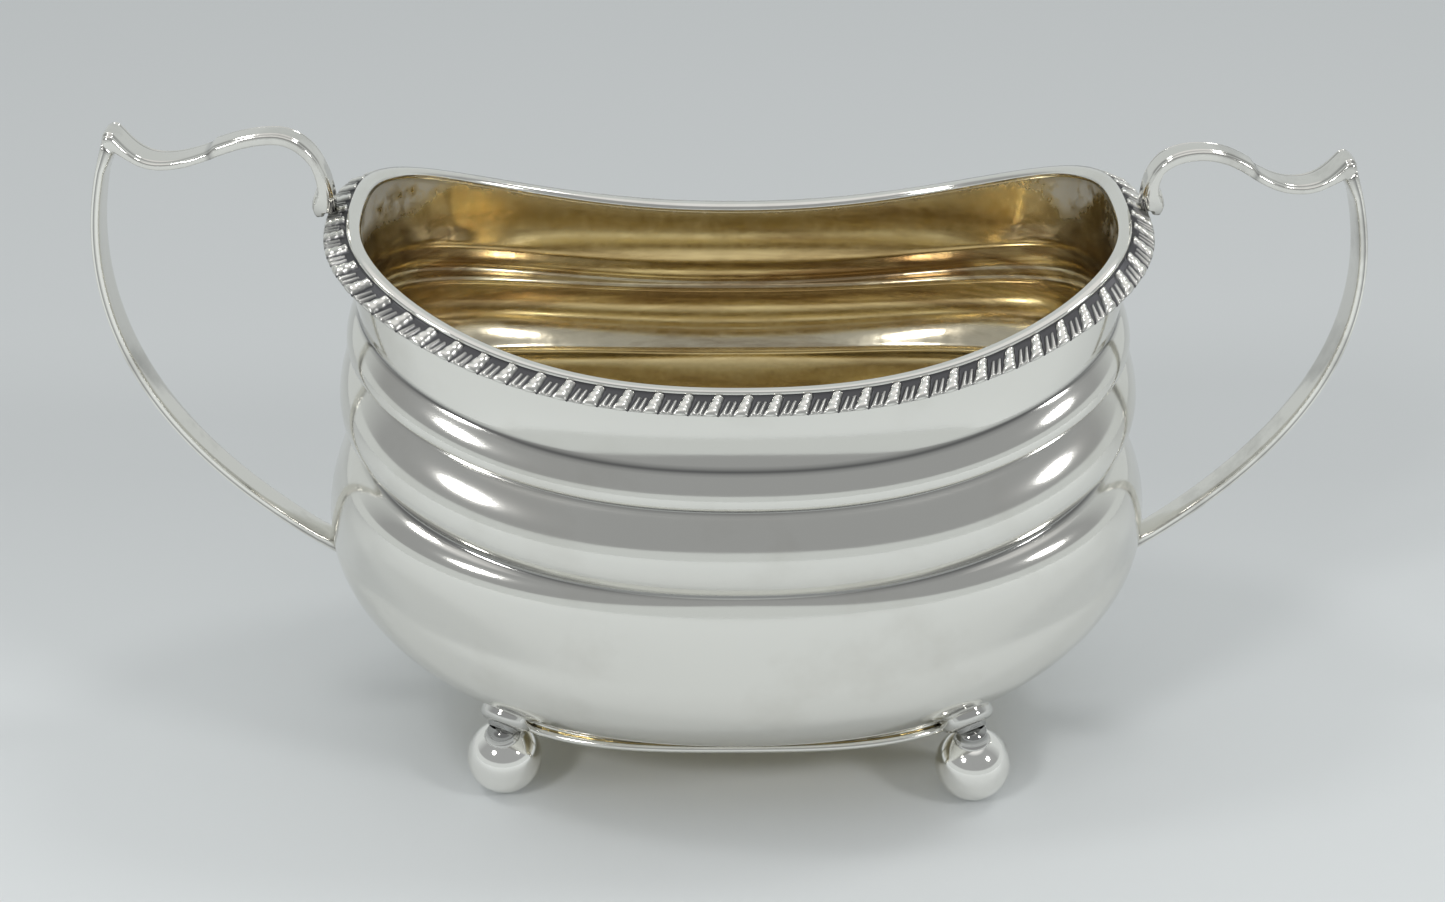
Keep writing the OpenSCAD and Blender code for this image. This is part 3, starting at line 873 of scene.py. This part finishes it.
def strap_darkening(k):
    """Darkening of a strap: thin tarnish on its faces, painted shade in the fine hollow, none on its
    edges but a dark line along their middle.
    """
    across, up = section_place(k)
    if k in EDGE_LINE:
        return EDGE_LINE_DARKNESS
    return max(HOLLOW_SHADE * hollow_share(across, up), STRAP_TARNISH if abs(up) > 0.7 else 0.0)


def handle_marks(h, s, border, lift):
    """Places of the handle's ear, dip, arch and ends, as distance from the middle and height."""
    reach = h.span / 2 + h.reach_share * lift
    ear = np.array((reach - 0.0045, h.ear_height + lift))
    rim = s.mouth_length / 2 + border.width
    top = s.mouth_height + s.mouth_rise
    return {"reach": reach, "rim": rim, "ear": ear, "ear_root": ear + (-0.001, -0.0035),
        "dip": np.array((reach - 0.0122, h.ear_height - 0.0047 + 0.9 * lift)),
        "arch": np.array((h.span / 2 - 0.0283, h.ear_height - 0.0002 + 0.6 * lift)),
        "root": np.array((rim - 0.0014, top - 0.0012)), "toe": np.array((rim + 0.0016, top - 0.0016))}


def ear_round(ear, degrees):
    """A point of the rounded tip of the ear, at an angle from straight out."""
    a = math.radians(degrees)
    return ear + EAR_CENTRE + EAR_RADIUS * np.array((math.cos(a), math.sin(a)))


def thicken(line, root, steps):
    """Draws the first steps of a handle's inner line out to the root of its ear."""
    for i in range(steps):
        line[i] = mix(root, line[steps], i / steps)


def arm_width(h, m, x):
    """Width of the arm, which is narrowest at its arch."""
    ear, arch, root = m["ear"][0], m["arch"][0], m["root"][0]
    if x > arch:
        return mix(h.waist, h.ear_width, clamp((x - arch) / (ear - arch)) ** 1.1)
    return mix(h.waist, h.root_width, clamp((arch - x) / (arch - root)))


def arm_object(name, h, m, side):
    """The upper arm, from the tip of the ear over dip and arch to the toe at the border."""
    ear, dip, arch, root, toe = (m[key] for key in ("ear", "dip", "arch", "root", "toe"))
    start = ear_round(ear, EAR_TURN[1])
    upper = np.concatenate([
        bezier((start, start + (-0.0016, -0.0019), dip + (0.0037, 0), dip), ARM_STEPS[0]),
        bezier((dip, dip - (0.0058, 0), arch + (0.0072, 0), arch), ARM_STEPS[1])[1:],
        bezier((arch, arch - (0.0052, 0), root + (0.0003, 0.0068), root + (0, 0.002)),
            ARM_STEPS[2])[1:]])
    under = beside(upper, h.arm_thick)
    thicken(under, m["ear_root"], EAR_STEPS)
    last = len(upper) - 1
    for i in range(len(upper)):
        upper[i, 1] += h.step * clamp(i - STEP_AT) * clamp((last - i) / TOE_STEPS)
    for i, t in enumerate(np.linspace(0, 1, TOE_STEPS), len(under) - TOE_STEPS):
        under[i] = mix(under[i], toe + (0, 0.0032), t)
    heel = np.array((m["rim"] + 0.0001, toe[1] + 0.0001))
    tip = [ear_round(ear, degrees) for degrees in range(*EAR_TURN)]
    upper = np.concatenate([tip, upper, [root, (m["rim"] - 0.0002, root[1]), heel + (0, 0.0006), heel]])
    under = np.concatenate([[m["ear_root"]] * len(tip), under,
        [toe + (0.0004, 0.0022), toe + (0.0005, 0.0014), toe + (0.0003, 0.0005), toe]])
    sections = [handle_section(p, q, arm_width(h, m, p[0]), side) for p, q in zip(upper, under)]
    step, last = len(tip) + STEP_AT, len(sections) - 1
    spots = [max(0.6 * bell(i, step, 1), 0.5 * bell(i, last, 4)) for i in range(last + 1)]
    return handle_object(name, sections, arm_darkening, spots)


def end_point(s, t):
    """A point at the end of the lower belly, as distance from the middle and height."""
    p = level_point(s, lower_level(s, t), 0.0)
    return np.array((p.x, p.z))


def strap_object(name, h, s, m, side):
    """The outer strap, from the ear down to its seat on the belly."""
    ear = m["ear"]
    seat, seat_top = (end_point(s, t) for t in SEAT)
    outer = bezier((ear_round(ear, EAR_TURN[0]), ear + (0.0077, -0.0191),
        (m["reach"] + 0.0052, 0.0575), seat), STRAP_STEPS)
    inner = beside(outer, -h.strap_thick)
    thicken(inner, m["ear_root"], STRAP_EAR_STEPS)
    inner[-1] = seat_top
    inner[-2] = mix(inner[-3], seat_top, 0.5)
    sections = [handle_section(p, q, mix(h.ear_width, h.end_width, i / STRAP_STEPS), side)
        for i, (p, q) in enumerate(zip(outer, inner))]
    spots = [max(0.3 * bell(i, 0, 2), 0.5 * bell(i, STRAP_STEPS, 1)) for i in range(STRAP_STEPS + 1)]
    return handle_object(name, sections, strap_darkening, spots)


class BOWL_OT_handles(bpy.types.Operator):
    """Builds the upper arm and the strap of both handles"""
    bl_idname = "bowl.handles"
    bl_label = "Handles"

    def execute(self, context):
        s, h, border, look = settings("shape", "handle", "border", "look")
        skin = metal("silver_handles", look.handle, look.handle_dull, rough=0.06, vary=0.1, scratch=0.1)
        for side, name, lift in ((-1, "left", h.left_lift), (1, "right", h.right_lift)):
            m = handle_marks(h, s, border, lift)
            arm = arm_object(name + "_arm_look", h, m, side)
            strap = strap_object(name + "_strap_look", h, s, m, side)
            for made, node in ((arm, name + "_upper_arm"), (strap, name + "_strap")):
                made.data.materials.append(skin)
                hand_in(made, "silver", node)
        return {"FINISHED"}


def turned_points(profile, origin, axis):
    """Points of a profile of radius and height turned about an axis, ring by ring."""
    turn_to = axis.to_track_quat("Z", "Y").to_matrix()
    return [origin + turn_to @ Vector((r * math.cos(a), r * math.sin(a), z))
        for r, z in profile for a in round_angles(FOOT_STEPS)]


def each_ring(values):
    """One value for each ring, repeated for all its points."""
    return [value for value in values for _ in range(FOOT_STEPS)]


def ball_points(f, ball, neck_axis):
    """Rings of a ball with its worn flat, then those of its neck."""
    r, n, high = f.ball / 2, f.neck / 2, neck_axis.length
    globe = [(0.00002, -ball.z)]
    globe += [(r * math.sin(a), -r * math.cos(a))
        for a in np.linspace(math.asin(f.flat / f.ball), math.pi - 0.01, BALL_RINGS)]
    neck = [(n * 1.45, r * 0.83), (n * 1.22, r * 0.92), (n * 1.06, r), (n, mix(r, high, 0.5)),
        (n * 1.05, high)]
    return turned_points(globe, ball, Vector((0, 0, 1))), turned_points(neck, ball, neck_axis)


def collar_points(f, middle, axis, flip, belly):
    """Rings of a rounded collar, the first of them let into the belly, with their painted shade."""
    c, n = f.collar / 2, f.neck / 2
    crown, hollow_top = COLLAR_CROWN * c, f.collar_edge + f.collar_dome
    profile = [(c, f.collar_edge * 0.5)]
    profile += [(mix(crown, c, math.cos(a)), f.collar_edge + f.collar_dome * math.sin(a))
        for a in np.linspace(0, math.pi / 2, 9)]
    profile += [(mix(n * 1.08, crown, (1 - t) ** 1.2), mix(hollow_top, f.collar_depth, t))
        for t in np.linspace(0.2, 1, 6)]
    profile.append((n * 0.4, f.collar_depth))
    back = []
    for p in turned_points([(c, SEEK_FROM)], middle, axis):
        hit = belly.ray_cast(flip @ p, -(flip @ axis), SEEK_REACH)[0]
        back.append(flip @ hit - COLLAR_SINK * axis if hit else p - 0.0045 * axis)
    depth = f.collar_depth - hollow_top
    # painted shade: darker towards the neck
    darkening = [COLLAR_SHADE + 0.4 * clamp((z - hollow_top * 0.8) / depth) for _, z in profile]
    return back + turned_points(profile, middle, axis), each_ring([COLLAR_SHADE] + darkening)


class BOWL_OT_feet(bpy.types.Operator):
    """Builds the ball feet with their necks and rounded collars"""
    bl_idname = "bowl.feet"
    bl_label = "Feet"

    def execute(self, context):
        look = context.scene.bowl_look
        # painted light: the feet are coloured with a brighter copy of the silver
        skin = metal("silver_feet", look.feet, look.silver, rough=0.04, vary=0.06, scratch=0.04)
        body = bpy.data.objects["bowl_body"].data
        belly = BVHTree.FromPolygons([v.co for v in body.vertices], [p.vertices for p in body.polygons])
        for end_name, sx in (("left", -1), ("right", 1)):
            for side_name, sy in (("front", -1), ("back", 1)):
                self.foot(side_name + "_" + end_name, sx, sy, skin, belly)
        return {"FINISHED"}

    def foot(self, name, sx, sy, skin, belly):
        """One foot: its collar and ball are laid out at the back right and flipped to their corner."""
        s, f = settings("shape", "foot")
        pushed = sx < 0 and sy < 0
        share, angle = (f.pushed_share, f.pushed_angle) if pushed else (f.seat_share, f.seat_angle)
        flip = Matrix.Diagonal((sx, sy, 1))
        middle = level_point(s, lower_level(s, share), angle)
        axis = Vector((math.sin(f.tip) * math.cos(f.facing), math.sin(f.tip) * math.sin(f.facing),
            -math.cos(f.tip)))
        low = math.sqrt(f.ball ** 2 - f.flat ** 2) / 2
        ball = Vector((f.along, f.across - (f.push if pushed else 0), low))
        globe, neck = ball_points(f, ball, middle + axis * f.collar_depth - ball)
        faces = capped_faces(len(globe) // FOOT_STEPS, FOOT_STEPS)
        faces += capped_faces(len(neck) // FOOT_STEPS, FOOT_STEPS, len(globe))
        # the ball is left clean; its neck gets tarnish and painted shade
        darkening = [0.0] * len(globe) + each_ring(NECK_TARNISH_AND_SHADE)
        self.dress(name + "_ball", [flip @ p for p in globe + neck], faces, darkening, skin)
        points, darkening = collar_points(f, middle, axis, flip, belly)
        faces = capped_faces(len(points) // FOOT_STEPS, FOOT_STEPS)
        self.dress(name + "_collar", [flip @ p for p in points], faces, darkening, skin)

    def dress(self, node, points, faces, darkening, skin):
        made = new_object(node + "_look", points, faces)
        mark(made, "tarnish_and_shade", darkening)
        face_outward(made)
        made.data.materials.append(skin)
        hand_in(made, "silver", node)


class BOWL_OT_wire(bpy.types.Operator):
    """Builds the thin wire round the bottom"""
    bl_idname = "bowl.wire"
    bl_label = "Base wire"

    def execute(self, context):
        s, f, look = settings("shape", "foot", "look")
        r = f.wire / 2
        edge = named_level(s, "base", grow=r)
        points = [level_point(s, edge, a) - Vector((0, 0, r)) for a in even_angles(s, s.sides)]
        skin = metal("silver_wire", look.silver, look.dull, rough=0.08, vary=0.1, scratch=0.1)
        made = follow_path("base_wire_look", points, wire_tree(), {"Radius": r, "Material": skin})
        hand_in(made, "silver", "foot_wire")
        return {"FINISHED"}


class BOWL_OT_stage(bpy.types.Operator):
    """Sets the floor, the light and the camera"""
    bl_idname = "bowl.stage"
    bl_label = "Stage"

    def execute(self, context):
        stage = context.scene.bowl_stage
        self.floor(stage)
        context.scene.world = self.room(stage)
        for name, place in MAIN_LAMPS:
            self.lamp(name, place, MAIN_SIZE, stage.main_power)
        for name, place in TOP_LAMPS:
            self.lamp(name, place, TOP_SIZE, stage.top_power)
        self.camera()
        context.scene.view_settings.view_transform = "Standard"
        return {"FINISHED"}

    def floor(self, stage):
        """A round pale floor, with painted shade that makes it a little darker behind the bowl."""
        r = stage.floor_radius
        edge = [(r * math.cos(a), r * math.sin(a), 0) for a in round_angles(FLOOR_STEPS)]
        made = new_object("floor", edge, [tuple(range(FLOOR_STEPS))])
        material, g = new_material("pale_floor")
        behind = g.spread(g.parts(g.place())["Y"], -0.08, 0.08)
        finish_surface(g, {"Base Color": g.blend(behind, stage.floor, stage.floor_shade_behind),
            "Roughness": 0.8, "Specular IOR Level": 0.1})
        made.data.materials.append(material)

    def room(self, stage):
        """A plain room: pale low down and behind, grey above the front, bright overhead."""
        world = bpy.data.worlds.new("room")
        world.use_nodes = True
        g = Nodes(world.node_tree)
        way = g.parts(g.place("Generated"))
        high_front = g.math("MULTIPLY", g.spread(way["Z"], 0.19, 0.23), g.spread(way["Y"], 0.4, -0.1))
        tone = g.blend(high_front, stage.low, stage.room)
        tone = g.blend(g.spread(way["Z"], 0.84, 0.92), tone, stage.zenith)
        sky = g.add("ShaderNodeBackground", {"Color": tone, "Strength": 1.0})
        g.add("ShaderNodeOutputWorld", {"Surface": sky.outputs["Background"]})
        return world

    def lamp(self, name, place, size, power):
        data = bpy.data.lights.new(name, "AREA")
        data.shape, data.size, data.energy = "DISK", size, power
        made = add_object(name, data)
        made.location = place
        made.rotation_euler = (Vector(LAMP_TARGET) - Vector(place)).to_track_quat("-Z", "Y").to_euler()

    def camera(self):
        data = bpy.data.cameras.new("camera")
        data.sensor_fit, data.sensor_width, data.lens = "HORIZONTAL", SENSOR_WIDTH, LENS
        data.clip_start = 0.01
        made = add_object("camera", data)
        made.matrix_world = (Matrix.Translation(CAMERA_PLACE) @ Matrix.Rotation(CAMERA_TURN, 4, "Z")
            @ Matrix.Rotation(math.pi / 2 - CAMERA_TILT, 4, "X") @ Matrix.Rotation(CAMERA_ROLL, 4, "Z"))
        bpy.context.scene.camera = made


class BOWL_PT_panel(bpy.types.Panel):
    """Settings of the sugar bowl"""
    bl_idname = "BOWL_PT_panel"
    bl_label = "Sugar bowl"
    bl_space_type = "VIEW_3D"
    bl_region_type = "UI"
    bl_category = "Sugar Bowl"

    def draw(self, context):
        layout = self.layout
        for name, group in GROUPS.items():
            box = layout.box()
            box.label(text=name.replace("_", " ").capitalize())
            for setting in group.__annotations__:
                box.prop(getattr(context.scene, name), setting)
        for operator in OPERATORS:
            layout.operator(operator.bl_idname)


GROUPS = {"bowl_shape": BowlShape, "bowl_border": BorderShape, "bowl_handle": HandleShape,
    "bowl_foot": FootShape, "bowl_look": SilverLook, "bowl_stage": StageLook}
OPERATORS = (BOWL_OT_body, BOWL_OT_base, BOWL_OT_lip, BOWL_OT_border, BOWL_OT_handles, BOWL_OT_feet,
    BOWL_OT_wire, BOWL_OT_stage)


def register():
    for one in (*GROUPS.values(), *OPERATORS, BOWL_PT_panel):
        bpy.utils.register_class(one)
    for name, group in GROUPS.items():
        setattr(bpy.types.Scene, name, bpy.props.PointerProperty(type=group))


def unregister():
    for name in GROUPS:
        delattr(bpy.types.Scene, name)
    for one in reversed((*GROUPS.values(), *OPERATORS, BOWL_PT_panel)):
        bpy.utils.unregister_class(one)


def main():
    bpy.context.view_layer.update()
    register()
    bpy.ops.bowl.body()
    bpy.ops.bowl.base()
    bpy.ops.bowl.lip()
    bpy.ops.bowl.border()
    bpy.ops.bowl.handles()
    bpy.ops.bowl.feet()
    bpy.ops.bowl.wire()
    bpy.ops.bowl.stage()


if __name__ == "__main__":
    main()
